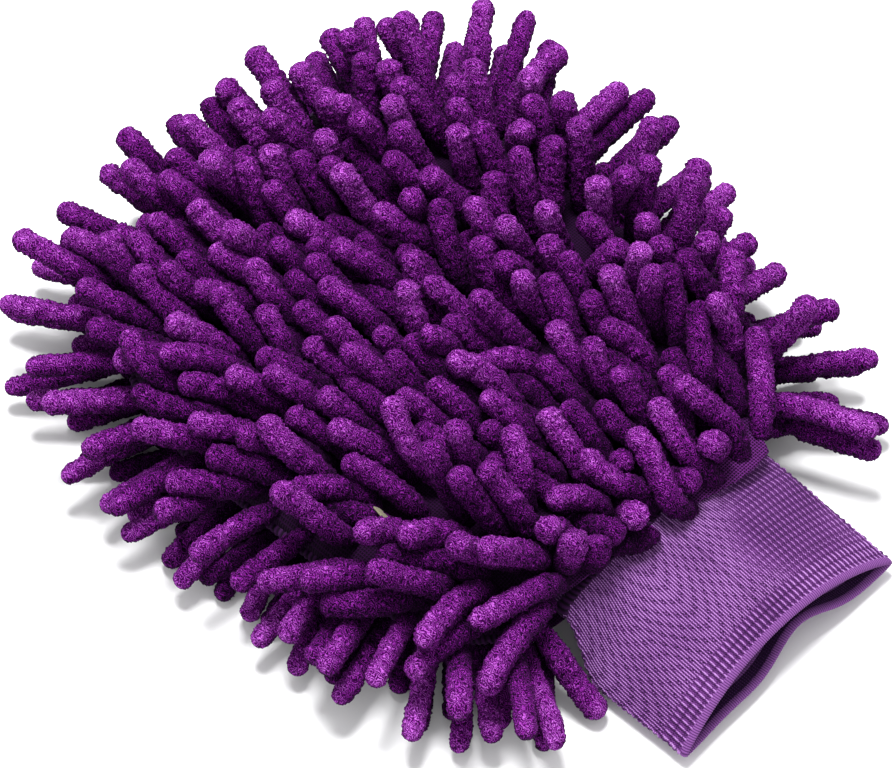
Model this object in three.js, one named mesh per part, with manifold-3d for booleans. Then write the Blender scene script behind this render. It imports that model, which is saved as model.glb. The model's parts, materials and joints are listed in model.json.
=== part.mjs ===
// Chenille wash mitt: a hand pouch of two knitted panels covered in noodles, with a knitted cuff.
// Units are millimetres. +Y points to the finger end, +X across the hand and +Z up.
// The origin is on the resting plane, under the middle of the mitt's outline.
import * as THREE from 'three';
import { mergeVertices } from 'three/addons/utils/BufferGeometryUtils.js';
import Module from 'manifold-3d';

const wasm = await Module();
wasm.setup();

// ---- driving dimensions ----
const OVERALL = { length: 256, width: 200, height: 60 };
const GAP = 0.3;                       // clearance between pieces that touch
const CLOTH = 1.2;                     // knitted base cloth
const NOODLE_REACH = 25;               // how far the noodles stand out past the pouch
const ROWS = 17;                       // noodle rows on each panel, across the hand

const FINGER_TIP_Y = OVERALL.length / 2;
const MOUTH_Y = -OVERALL.length / 2;
const CUFF = {
  length: 50,
  rootWidth: 80,
  mouthWidth: 94,
  rootHeight: 14,
  mouthHeight: 15,
  wall: 1.6,
  mouthCentreZ: 9.3,
  ribBand: 9.4,                        // depth of the ribbed band
  ribWall: 0.8,
  hem: 3.6,                            // depth of the rolled hem
  elasticWidth: 2.6,
  elasticSpacing: 4.2,
};
const ROOT_Y = MOUTH_Y + CUFF.length;  // where the cuff meets the pouch

// The pouch lies on the palm-side noodles. Its two panels meet at a seam half way up.
const POUCH = {
  halfWidth: OVERALL.width / 2 - NOODLE_REACH,
  cuffEnd: ROOT_Y + 1,
  fingerEnd: FINGER_TIP_Y - NOODLE_REACH - 2,
  fingerRadius: 42,
  shoulderRadius: 26,
  bottom: 13,
  top: 29,
};
const SEAM_Z = (POUCH.bottom + POUCH.top) / 2;
const SEAM_BEAD = { width: 2.3, height: 2.4 };
const SEAM_START = 7.8;                // the side seams start this far from the cuff's root
const SEAM_CORNER_DEPTH = 30;          // the finger end's seam turns this far down the sides
const CUFF_END_TRIM = 5;               // how much of the pouch's rounded cuff end is open
const ROOT_HALF_OPENING = CUFF.rootWidth / 2 + 3.3;
const CUFF_SIDE_CLEARANCE = 3.3;       // between the cuff's sides and the noodles beside it
const HEM_ROLL = 0.7;                  // how far the rolled hem stands out past the cuff
const SEAM_LAP = 0.8;                  // how far the cuff's joining seam stands out past the cuff

// The outer surface that the noodle tips reach.
const MOUND = {
  halfWidth: OVERALL.width / 2,
  cuffEnd: ROOT_Y - 20,                // the shoulder noodles reach this far past the cuff's root
  fingerEnd: FINGER_TIP_Y,
  fingerRadius: POUCH.fingerRadius + NOODLE_REACH,
  shoulderRadius: 36,
  footRounding: 5,
  crownRounding: 32,
  crownStart: 24,
};
const BACK_ROWS_BOTTOM = POUCH.top + 1;
const PALM_ROWS_TOP = POUCH.bottom - GAP;
const ROWS_START_Y = ROOT_Y + 0.5;
const ROW_PITCH = (POUCH.fingerEnd - ROWS_START_Y) / ROWS;
const CORNER_X = 33;                   // the finger end's straight stretch ends here
const CORNER_Y = 48;                   // the sides' straight stretch ends here
const TUFT_RISE = 14;                  // how far the shoulder noodles stand above the pouch
const LABEL = { across: 12, along: 18, thick: 0.4, x: -56, y: -32 };

const COLOURS = {
  noodles: 0x5c1f6c,
  cloth: 0x3f1450,
  cuff: 0x8f5ea6,
  elastic: 0x6f4284,
  thread: 0x9a6aa8,
  label: 0x8a836a,
};

// ---- outlines and ring solids ----

// A rounded rectangle, inset by `inset`, as points that run anticlockwise seen from above.
function roundedOutline(plan, inset, arcSteps = 7) {
  const halfWidth = plan.halfWidth - inset;
  const low = plan.cuffEnd + inset;
  const high = plan.fingerEnd - inset;
  const shoulder = Math.max(plan.shoulderRadius - inset, 0.5);
  const finger = Math.max(plan.fingerRadius - inset, 0.5);
  const corners = [
    { x: halfWidth - shoulder, y: low + shoulder, radius: shoulder, start: -Math.PI / 2 },
    { x: halfWidth - finger, y: high - finger, radius: finger, start: 0 },
    { x: -halfWidth + finger, y: high - finger, radius: finger, start: Math.PI / 2 },
    { x: -halfWidth + shoulder, y: low + shoulder, radius: shoulder, start: Math.PI },
  ];
  const points = [];
  for (const corner of corners) {
    for (let step = 0; step <= arcSteps; step += 1) {
      const angle = corner.start + (step / arcSteps) * (Math.PI / 2);
      points.push(new THREE.Vector2(
        corner.x + corner.radius * Math.cos(angle),
        corner.y + corner.radius * Math.sin(angle),
      ));
    }
  }
  return points;
}

// A flat oval in the XZ plane at `y`: straight top and bottom, half-round ends.
function flatOval(y, centreZ, width, height, arcSteps = 8) {
  const radius = height / 2;
  const points = [];
  for (const side of [1, -1]) {
    for (let step = 0; step <= arcSteps; step += 1) {
      const angle = -side * Math.PI / 2 + side * (step / arcSteps) * Math.PI;
      points.push(new THREE.Vector3(
        side * (width / 2 - radius) + side * radius * Math.cos(angle),
        y,
        centreZ + radius * Math.sin(angle),
      ));
    }
  }
  return points;
}

function geometryFrom(points, triangles) {
  const positions = points.flatMap((p) => [p.x, p.y, p.z]);
  const geometry = new THREE.BufferGeometry();
  geometry.setAttribute('position', new THREE.Float32BufferAttribute(positions, 3));
  geometry.setIndex(triangles.flat());
  return geometry;
}

// Two triangles for each side of a band between ring `a` and ring `b`, given by their first indices.
function bandTriangles(a, b, count) {
  const triangles = [];
  for (let i = 0; i < count; i += 1) {
    const next = (i + 1) % count;
    triangles.push([a + i, a + next, b + next], [a + i, b + next, b + i]);
  }
  return triangles;
}

// A closed solid through a stack of convex rings, lowest first, each anticlockwise seen from above.
function stackSolid(rings) {
  const count = rings[0].length;
  const triangles = [];
  for (let level = 0; level + 1 < rings.length; level += 1) {
    triangles.push(...bandTriangles(level * count, (level + 1) * count, count));
  }
  const last = (rings.length - 1) * count;
  for (let i = 1; i + 1 < count; i += 1) {
    triangles.push([0, i + 1, i], [last, last + i, last + i + 1]);
  }
  return geometryFrom(rings.flat(), triangles);
}

// An open-ended sleeve between a row of outer rings and a row of inner rings.
function sleeveSolid(outerRings, innerRings) {
  const count = outerRings[0].length;
  const levels = outerRings.length;
  const inner = levels * count;
  const triangles = [];
  for (let level = 0; level + 1 < levels; level += 1) {
    const here = level * count;
    const next = here + count;
    triangles.push(...bandTriangles(here, next, count));
    triangles.push(...bandTriangles(inner + next, inner + here, count));
  }
  const lastOuter = (levels - 1) * count;
  triangles.push(...bandTriangles(inner, 0, count));
  triangles.push(...bandTriangles(lastOuter, inner + lastOuter, count));
  return geometryFrom([...outerRings, ...innerRings].flat(), triangles);
}

// ---- boolean cuts ----

function toManifold(geometry) {
  const bare = geometry.clone();
  bare.deleteAttribute('normal');
  bare.deleteAttribute('uv');
  const merged = mergeVertices(bare, 1e-4);
  return new wasm.Manifold(new wasm.Mesh({
    numProp: 3,
    vertProperties: new Float32Array(merged.attributes.position.array),
    triVerts: new Uint32Array(merged.index.array),
  }));
}

function toGeometry(manifold) {
  const mesh = manifold.getMesh();
  const geometry = new THREE.BufferGeometry();
  geometry.setAttribute('position', new THREE.Float32BufferAttribute(mesh.vertProperties, 3));
  geometry.setIndex([...mesh.triVerts]);
  geometry.computeVertexNormals();
  return geometry;
}

function boxBetween(low, high) {
  const geometry = new THREE.BoxGeometry(high[0] - low[0], high[1] - low[1], high[2] - low[2]);
  geometry.translate((low[0] + high[0]) / 2, (low[1] + high[1]) / 2, (low[2] + high[2]) / 2);
  return toManifold(geometry);
}

// ---- shared solids ----

const FAR = 300;                       // past the mitt on every side, for cutting boxes

// The pouch's pillow shape, `inset` inside its outer surface: flat faces and rounded edges.
function pouchPillow(inset, edgeSteps = 3) {
  const radius = (POUCH.top - POUCH.bottom) / 2 - inset;
  const rings = [];
  for (let step = -edgeSteps; step <= edgeSteps; step += 1) {
    const angle = (step / edgeSteps) * (Math.PI / 2);
    const edgeInset = inset + radius * (1 - Math.cos(angle));
    const z = SEAM_Z + radius * Math.sin(angle);
    rings.push(roundedOutline(POUCH, edgeInset).map((p) => new THREE.Vector3(p.x, p.y, z)));
  }
  return toManifold(stackSolid(rings));
}

// The whole mass of noodles: a flat foot, upright sides and a wide rounded crown.
function noodleMound(crownSteps = 6) {
  const levels = [
    { inset: MOUND.footRounding, z: 0 },
    { inset: MOUND.footRounding * 0.2, z: MOUND.footRounding * 0.5 },
    { inset: 0, z: MOUND.footRounding * 1.6 },
  ];
  for (let step = 0; step <= crownSteps; step += 1) {
    const angle = (step / crownSteps) * (Math.PI / 2);
    levels.push({
      inset: MOUND.crownRounding * (1 - Math.cos(angle)),
      z: MOUND.crownStart + (OVERALL.height - MOUND.crownStart) * Math.sin(angle),
    });
  }
  const rings = levels.map(({ inset, z }) => (
    roundedOutline(MOUND, inset).map((p) => new THREE.Vector3(p.x, p.y, z))
  ));
  return toManifold(stackSolid(rings));
}

// How far `y` is along the cuff: 0 at its root and inside the pouch, 1 at its mouth.
function alongCuff(y) {
  return Math.max((ROOT_Y - y) / CUFF.length, 0);
}

// The height of the cuff's centre line: level with the seam at the root, drooping to its mouth.
function cuffCentreZ(y) {
  return SEAM_Z + (CUFF.mouthCentreZ - SEAM_Z) * alongCuff(y);
}

function cuffHeight(y) {
  return CUFF.rootHeight + (CUFF.mouthHeight - CUFF.rootHeight) * alongCuff(y);
}

function cuffWidth(y) {
  return CUFF.rootWidth + (CUFF.mouthWidth - CUFF.rootWidth) * alongCuff(y);
}

// A length of the cuff's flattened tube, from `mouthSide` to `rootSide`, between two offsets
// inwards from the cuff's outer surface.
function cuffSleeve(mouthSide, rootSide, outerOffset, innerOffset, steps = 3) {
  const outer = [];
  const inner = [];
  for (let step = 0; step <= steps; step += 1) {
    const y = rootSide + (mouthSide - rootSide) * (step / steps);
    const centre = cuffCentreZ(y);
    const width = cuffWidth(y);
    const height = cuffHeight(y);
    outer.push(flatOval(y, centre, width - 2 * outerOffset, height - 2 * outerOffset));
    inner.push(flatOval(y, centre, width - 2 * innerOffset, height - 2 * innerOffset));
  }
  return sleeveSolid(outer, inner);
}

// ---- the pieces ----

const mitt = new THREE.Group();

function addPiece(name, geometry, colour, roughness = 0.95) {
  const shape = geometry instanceof THREE.BufferGeometry ? geometry : toGeometry(geometry);
  const material = new THREE.MeshStandardMaterial({ color: colour, roughness, metalness: 0 });
  const mesh = new THREE.Mesh(shape, material);
  mesh.name = name;
  mitt.add(mesh);
}

function addPouchPanels() {
  const shell = pouchPillow(0).subtract(pouchPillow(CLOTH));
  const openEnd = boxBetween(
    [-ROOT_HALF_OPENING, POUCH.cuffEnd - 5, 0],
    [ROOT_HALF_OPENING, POUCH.cuffEnd + CUFF_END_TRIM, OVERALL.height],
  );
  const open = shell.subtract(openEnd);
  const aboveSeam = boxBetween([-FAR, -FAR, SEAM_Z + GAP / 2], [FAR, FAR, FAR]);
  const belowSeam = boxBetween([-FAR, -FAR, 0], [FAR, FAR, SEAM_Z - GAP / 2]);
  addPiece('back_base_cloth', open.intersect(aboveSeam), COLOURS.cloth);
  addPiece('palm_base_cloth', open.intersect(belowSeam), COLOURS.cloth);
}

// The bead of the overlocked seam round the pouch, in three runs.
function addPouchSeams() {
  const outline = roundedOutline(POUCH, -GAP - SEAM_BEAD.width);
  const faces = [-1, 1].map((side) => SEAM_Z + side * SEAM_BEAD.height / 2);
  const bead = stackSolid(faces.map((z) => outline.map((p) => new THREE.Vector3(p.x, p.y, z))));
  const ring = toManifold(bead).subtract(pouchPillow(-GAP));
  const endY = POUCH.fingerEnd - SEAM_CORNER_DEPTH;
  const startY = ROOT_Y + SEAM_START;
  const runs = {
    left_side_seam: [[-FAR, startY, 0], [0, endY - GAP, FAR]],
    right_side_seam: [[0, startY, 0], [FAR, endY - GAP, FAR]],
    finger_end_seam: [[-FAR, endY, 0], [FAR, FAR, FAR]],
  };
  for (const [name, [low, high]] of Object.entries(runs)) {
    addPiece(name, ring.intersect(boxBetween(low, high)), COLOURS.thread);
  }
}

// Rows of noodles, each one slab of the mound across the hand. Row 01 is next to the cuff.
function addNoodleRows(mound) {
  for (let row = 0; row < ROWS; row += 1) {
    const start = ROWS_START_Y + row * ROW_PITCH;
    const end = row === ROWS - 1 ? FAR : start + ROW_PITCH - GAP;
    const number = String(row + 1).padStart(2, '0');
    addPiece(
      `back_noodle_row_${number}`,
      mound.intersect(boxBetween([-FAR, start, BACK_ROWS_BOTTOM], [FAR, end, FAR])),
      COLOURS.noodles,
    );
    addPiece(
      `palm_noodle_row_${number}`,
      mound.intersect(boxBetween([-FAR, start, -1], [FAR, end, PALM_ROWS_TOP])),
      COLOURS.noodles,
    );
  }
}

// The noodles that stand out round the edge of the pouch, between the back rows and the palm rows.
function addEdgeNoodles(mound) {
  const clearOfPouch = toManifold(stackSolid([0, OVERALL.height].map((z) => (
    roundedOutline(POUCH, -SEAM_BEAD.width - 2 * GAP).map((p) => new THREE.Vector3(p.x, p.y, z))
  ))));
  const low = PALM_ROWS_TOP + GAP;
  const high = BACK_ROWS_BOTTOM - GAP;
  const slice = mound.intersect(boxBetween([-FAR, ROWS_START_Y, low], [FAR, FAR, high]));
  const band = slice.subtract(clearOfPouch);
  const split = GAP / 2;
  const runs = {
    left_side_noodles: [[-FAR, -FAR, 0], [0, CORNER_Y - split, FAR]],
    left_corner_noodles: [[-FAR, CORNER_Y + split, 0], [-CORNER_X - split, FAR, FAR]],
    finger_end_noodles: [[-CORNER_X + split, CORNER_Y, 0], [CORNER_X - split, FAR, FAR]],
    right_corner_noodles: [[CORNER_X + split, CORNER_Y + split, 0], [FAR, FAR, FAR]],
    right_side_noodles: [[0, -FAR, 0], [FAR, CORNER_Y - split, FAR]],
  };
  for (const [name, [from, to]] of Object.entries(runs)) {
    addPiece(name, band.intersect(boxBetween(from, to)), COLOURS.noodles);
  }
}

// The noodles that fall forward off the pouch's shoulders, one tuft each side of the cuff.
function addShoulderNoodles(mound) {
  const top = POUCH.top + TUFT_RISE;
  const inner = CUFF.mouthWidth / 2 + CUFF_SIDE_CLEARANCE;
  const tufts = mound.intersect(boxBetween([-FAR, -FAR, -1], [FAR, ROWS_START_Y - GAP, top]));
  const left = tufts.intersect(boxBetween([-FAR, -FAR, -1], [-inner, FAR, FAR]));
  const right = tufts.intersect(boxBetween([inner, -FAR, -1], [FAR, FAR, FAR]));
  addPiece('left_shoulder_noodles', left, COLOURS.noodles);
  addPiece('right_shoulder_noodles', right, COLOURS.noodles);
}

// The joining seam laps over the cuff's root, just inside the pouch's opening.
function addJoiningSeam() {
  const rootSide = POUCH.cuffEnd + CUFF_END_TRIM - GAP;
  const mouthSide = ROOT_Y - GAP / 3;
  const seam = cuffSleeve(mouthSide, rootSide, -SEAM_LAP, CUFF.wall, 1);
  addPiece('cuff_joining_seam', seam, COLOURS.thread);
}

// From the root: the knitted tube, the ribbed band with two elastic yarns inside, and the hem.
function addCuff() {
  const hemStart = MOUTH_Y + CUFF.hem;
  const ribStart = hemStart + CUFF.ribBand;
  const tubeRoot = ROOT_Y - 2 * GAP;
  addPiece('cuff_knit_tube', cuffSleeve(ribStart + GAP, tubeRoot, 0, CUFF.wall, 4), COLOURS.cuff);
  addPiece('cuff_rib_band', cuffSleeve(hemStart + GAP, ribStart, 0, CUFF.ribWall, 1), COLOURS.cuff);
  const hem = cuffSleeve(MOUTH_Y, hemStart, -HEM_ROLL, CUFF.wall + HEM_ROLL / 2, 1);
  addPiece('cuff_hem', hem, COLOURS.cuff);

  ['cuff_elastic_outer', 'cuff_elastic_inner'].forEach((name, index) => {
    const start = hemStart + 4 * GAP + index * CUFF.elasticSpacing;
    const end = start + CUFF.elasticWidth;
    addPiece(name, cuffSleeve(start, end, CUFF.ribWall + GAP, CUFF.wall + GAP, 1), COLOURS.elastic);
  });
}

// A blank folded tape end, stitched flat to the back panel near its left side.
function addLabel() {
  const geometry = new THREE.BoxGeometry(LABEL.across, LABEL.along, LABEL.thick);
  geometry.translate(LABEL.x, LABEL.y, POUCH.top + GAP + LABEL.thick / 2);
  addPiece('care_label_tab', geometry, COLOURS.label);
}

const mound = noodleMound();
addPouchPanels();
addPouchSeams();
addNoodleRows(mound);
addEdgeNoodles(mound);
addShoulderNoodles(mound);
addJoiningSeam();
addCuff();
addLabel();

export default mitt;
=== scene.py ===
"""Looks for the chenille wash mitt: noodles, knitted base cloth, ribbed cuff, seams and label.

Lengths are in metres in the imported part's frame: +Y to the finger end, +Z up, cuff at -Y.
"""
import itertools
import json
import math

import bpy
import numpy as np
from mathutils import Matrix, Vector


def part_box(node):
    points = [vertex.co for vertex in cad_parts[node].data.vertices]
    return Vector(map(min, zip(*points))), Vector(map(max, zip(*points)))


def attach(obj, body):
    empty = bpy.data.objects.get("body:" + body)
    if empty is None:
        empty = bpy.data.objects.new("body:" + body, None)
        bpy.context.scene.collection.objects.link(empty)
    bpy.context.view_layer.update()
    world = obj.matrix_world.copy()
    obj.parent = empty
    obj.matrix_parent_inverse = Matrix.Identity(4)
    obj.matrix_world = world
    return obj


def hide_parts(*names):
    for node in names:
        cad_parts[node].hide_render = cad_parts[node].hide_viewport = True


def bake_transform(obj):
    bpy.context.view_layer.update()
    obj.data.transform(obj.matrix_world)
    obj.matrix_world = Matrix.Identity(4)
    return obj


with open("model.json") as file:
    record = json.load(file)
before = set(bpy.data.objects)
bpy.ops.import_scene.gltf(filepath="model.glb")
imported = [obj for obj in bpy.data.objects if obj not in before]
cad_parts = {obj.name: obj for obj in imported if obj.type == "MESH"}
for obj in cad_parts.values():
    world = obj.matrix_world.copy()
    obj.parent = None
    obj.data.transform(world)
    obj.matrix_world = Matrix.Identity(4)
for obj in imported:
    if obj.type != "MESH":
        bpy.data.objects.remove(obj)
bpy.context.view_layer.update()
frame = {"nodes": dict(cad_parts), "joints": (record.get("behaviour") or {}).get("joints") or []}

MM = 0.001
TURN = 2 * math.pi

# ---- sizes read from the frame ----
BACK_LOW, BACK_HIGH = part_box("back_base_cloth")
PALM_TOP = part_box("palm_base_cloth")[1].z
TUBE_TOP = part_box("cuff_knit_tube")[1].z
HEM_LOW, HEM_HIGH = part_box("cuff_hem")
RIB_LOW, RIB_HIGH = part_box("cuff_rib_band")
HINGE = frame["joints"][0]["pos_m"]

POUCH_HALF_WIDTH = BACK_HIGH.x
POUCH_CENTRE_Y = (BACK_HIGH.y + BACK_LOW.y) / 2
POUCH_HALF_LENGTH = (BACK_HIGH.y - BACK_LOW.y) / 2
SEAM_Z = (BACK_LOW.z + PALM_TOP) / 2
EDGE_RADIUS = BACK_HIGH.z - SEAM_Z
ROOT_Y = HINGE[1]
MOUTH_Y = HEM_LOW.y
CUFF_HALF_WIDTH = HEM_HIGH.x - 0.7 * MM
CUFF_ROOT_HALF_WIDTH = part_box("cuff_joining_seam")[1].x - 0.8 * MM
OPENING_HALF_WIDTH = CUFF_ROOT_HALF_WIDTH + 2 * MM
OPENING_CORNER = 9 * MM
CUFF_LENGTH = ROOT_Y - MOUTH_Y
HEM_DEPTH = HEM_HIGH.y - HEM_LOW.y
RIB_START_Y = RIB_HIGH.y

# ---- the noodles' own sizes ----
NOODLE_LENGTH = 33.5 * MM
NOODLE_RADIUS = 3.75 * MM
RIM_RADIUS = 3.4 * MM
PALM_RADIUS = 3.1 * MM
CHAIN_POINTS = 10
ROOT_PITCH = 11.4 * MM
RIM_PITCH = 13.5 * MM
SEED = 20

RINGS = 66
SIDES = 32


def bell(values, middle, width):
    """A smooth bump of height 1."""
    return np.exp(-(((values - middle) / width) ** 2))


def ease(values):
    """A smooth step, from 0 at 0 to 1 at 1."""
    share = np.clip(values, 0, 1)
    return share * share * (3 - 2 * share)


def stack(*columns):
    """Columns of numbers side by side, as points or faces."""
    return np.stack(columns, axis=-1)


def unit(vectors):
    """The vectors at length 1."""
    return vectors / np.linalg.norm(vectors, axis=-1, keepdims=True)


def travel(line):
    """The distance along a line at each of its points."""
    return np.concatenate([[0], np.cumsum(np.linalg.norm(np.diff(line, axis=0), axis=-1))])


def points_at(line, travelled, wanted):
    """A line's points at these distances along it."""
    return stack(*(np.interp(wanted, travelled, values) for values in line.T))


# ---- the pouch's surface ----

def plan_norm(x, y):
    """0 at the middle of the pouch and 1 on its outline, a rounded rectangle, seen from above."""
    across = np.abs(x) / POUCH_HALF_WIDTH
    along = (y - POUCH_CENTRE_Y) / POUCH_HALF_LENGTH
    power = np.where(along > 0, np.where(x > 0, 4.2, 2.7), 4.6)
    return (across**power + np.abs(along) ** power) ** (1 / power)


def crease_offset(x, y):
    """Signed distance across the lengthwise valley of the back: negative on its left side."""
    toward_fingers = np.clip((y + 70 * MM) / (150 * MM), -0.2, 1.3)
    return x - (2 + 6 * toward_fingers + 30 * np.clip(toward_fingers, 0, 2) ** 3) * MM


def back_bulge(x, y, inset):
    """How far the back panel stands above its flat CAD shape: two soft lobes and a valley."""
    dome = 1 - np.exp(-np.clip(inset, 0, None) / (22 * MM))
    lobes = 5.0 * MM * dome
    fade = 1 - 0.85 * bell(y, ROOT_Y - 6 * MM, 16 * MM)
    valley = 7.0 * MM * dome * bell(crease_offset(x, y), 0, 11 * MM) * fade
    lumps = 1.4 * MM * dome * np.sin(70 * x + 2.1) * np.cos(55 * y + 0.7)
    cuff_slope = 5.0 * MM * bell(y, ROOT_Y - 6 * MM, 22 * MM)
    return lobes - valley + lumps - cuff_slope


def panel_inset(x, y):
    """Distance inside the outline, but with no edge across the opening where the cuff joins."""
    closed = ease((np.abs(x) - OPENING_HALF_WIDTH) / OPENING_CORNER + 0.5)
    opened_y = np.where(y < POUCH_CENTRE_Y, POUCH_CENTRE_Y + (y - POUCH_CENTRE_Y) * closed, y)
    return (1 - plan_norm(x, opened_y)) * POUCH_HALF_WIDTH


def overhang(x):
    """How far the back panel and its noodles hang past the cuff's root: most on the right."""
    return (1 + 10.5 * ease((x + 12 * MM) / (45 * MM))) * MM


def edge_profile(inset):
    """Height of the pouch's rounded edge above the seam, this far inside the outline."""
    near = np.clip(inset, 0, EDGE_RADIUS)
    return np.sqrt(np.clip(EDGE_RADIUS**2 - (EDGE_RADIUS - near) ** 2, 0, None))


def panel_height(x, y, side):
    """Z of the back panel (side 1) or the palm panel (side -1), at points inside the outline."""
    inset = panel_inset(x, y)
    rise = edge_profile(inset)
    bulge = back_bulge(x, y, inset - EDGE_RADIUS * 0.4)
    return SEAM_Z + np.where(side > 0, rise + bulge * (rise / EDGE_RADIUS), -rise)


def panel_normal(x, y, side):
    """Outward unit normals of a panel at these points."""
    step = 0.6 * MM
    inside = np.clip(plan_norm(x, y), 1e-6, None)
    pull = np.minimum(1.0, 0.985 / inside)
    px, py = x * pull, POUCH_CENTRE_Y + (y - POUCH_CENTRE_Y) * pull
    dzdx = (panel_height(px + step, py, side) - panel_height(px - step, py, side)) / (2 * step)
    dzdy = (panel_height(px, py + step, side) - panel_height(px, py - step, side)) / (2 * step)
    return unit(stack(-dzdx * side, -dzdy * side, side * np.ones_like(x)))


# ---- where each noodle is rooted ----

HANGING_ROW_GAP = 9.5 * MM             # from the first row to one on the back cloth that hangs past it
HANGING_ROW_REACH = 42 * MM            # how far that row reaches to each side


def row_centres():
    """The Y of each noodle row, from the CAD rows."""
    names = sorted(n for n in frame["nodes"] if n.startswith("back_noodle_row_"))
    starts = [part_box(name)[0].y for name in names]
    pitch = starts[1] - starts[0]
    return [start + pitch / 2 for start in starts]


# more noodles where the photo shows them crowded, by the left shoulder: plan places (mm)
SHOULDER_ROOTS = [(-44, -75), (-56, -64), (-37, -66), (-66, -50), (-50, -56), (-71, -34)]
# noodles placed one by one, over the cuff's root, beside it and on the right side:
# plan place (mm), lean, share of the usual length
OWN_ROOTS = [
    ((-26, -73), (-0.20, -0.30, 0.80), 0.50), ((-20, -64), (0.45, -0.80, 0.35), 0.60),
    ((-9, -70), (-0.40, -0.40, 0.80), 0.60), ((-1, -69), (0.00, -0.10, 0.95), 0.60),
    ((8, -66), (0.30, -0.85, 0.35), 0.75), ((-34, -71), (0.10, -0.20, 0.90), 0.60),
    ((-19, -74), (0.60, -0.50, 0.30), 0.55), ((22, -75), (0.10, -0.20, 0.90), 0.60),
    ((-49, -76), (-0.22, -0.85, -0.45), 0.95), ((53, -76), (0.45, -0.85, -0.30), 1.00),
    ((70, 32), (0.80, 0.10, 0.50), 1.10), ((70, 12), (0.85, 0.00, 0.45), 1.10),
    ((69, 52), (0.70, 0.20, 0.60), 1.05),
]


def row_roots(rng):
    """Roots in staggered rows across both panels, as (x, y, side, node name)."""
    roots = []
    centres = row_centres()
    count = int(POUCH_HALF_WIDTH // ROOT_PITCH)
    for side, panel in ((1, "back"), (-1, "palm")):
        for row, centre in [(0, centres[0] - HANGING_ROW_GAP), *enumerate(centres)]:
            stagger = 0.25 * ROOT_PITCH * (1 if (row + (side < 0)) % 2 else -1)
            for column in range(-count, count + 1):
                x = column * ROOT_PITCH + stagger + rng.normal(0, 1.0 * MM)
                y = centre + rng.normal(0, 0.8 * MM)
                hangs = side > 0 and ROOT_Y - y <= overhang(x) + 1 * MM and abs(x) <= HANGING_ROW_REACH
                if centre < ROOT_Y and not hangs:
                    continue
                if panel_inset(x, y) >= 0.42 * EDGE_RADIUS:
                    roots.append((x, y, side, f"{panel}_noodle_row_{row + 1:02d}"))
    for x, y in SHOULDER_ROOTS + [place for place, _, _ in OWN_ROOTS]:
        row = int(np.argmin([abs(y * MM - centre) for centre in centres])) + 1
        roots.append((x * MM, y * MM, 1, f"back_noodle_row_{row:02d}"))
    return roots


def rim_node(x, y):
    """The CAD node whose noodles grow from this place on the pouch's rim."""
    corner_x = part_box("finger_end_noodles")[1].x
    corner_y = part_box("left_corner_noodles")[0].y
    hand = "left" if x < 0 else "right"
    if y > corner_y:
        return "finger_end_noodles" if abs(x) < corner_x else f"{hand}_corner_noodles"
    if y < ROOT_Y + 8 * MM:
        return f"{hand}_shoulder_noodles"
    return f"{hand}_side_noodles"


def rim_outline(shift):
    """Points round the pouch's outline, evenly spaced, without the cuff's opening."""
    angle = np.linspace(-math.pi / 2, 3 * math.pi / 2, 4000, endpoint=False)
    ray = stack(np.cos(angle), np.sin(angle))
    far = plan_norm(ray[:, 0], POUCH_CENTRE_Y + ray[:, 1])
    outline = ray / far[:, None] + [0, POUCH_CENTRE_Y]
    steps = np.linalg.norm(np.roll(outline, -1, axis=0) - outline, axis=-1)
    travelled = np.concatenate([[0], np.cumsum(steps)[:-1]])
    count = int(steps.sum() // RIM_PITCH)
    picks = np.searchsorted(travelled, (np.arange(count) + 0.5 + shift) * steps.sum() / count)
    chosen = outline[np.clip(picks, 0, len(outline) - 1)]
    at_cuff = (np.abs(chosen[:, 0]) < CUFF_HALF_WIDTH + 1 * MM) & (chosen[:, 1] < ROOT_Y + 6 * MM)
    return chosen[~at_cuff]


def rim_roots(rng):
    """Roots next to the seam, on the back and then on the palm, as (x, y, side, node name)."""
    roots = []
    shrink = 1 - (1.2 * MM) / POUCH_HALF_WIDTH
    for side in (1, -1):
        for x, y in rim_outline(0.25 * side):
            px = x * shrink + rng.normal(0, 0.5 * MM)
            py = POUCH_CENTRE_Y + (y - POUCH_CENTRE_Y) * shrink + rng.normal(0, 0.5 * MM)
            roots.append((px, py, side, rim_node(x, y)))
    return roots


# ---- how each noodle lies ----

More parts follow.
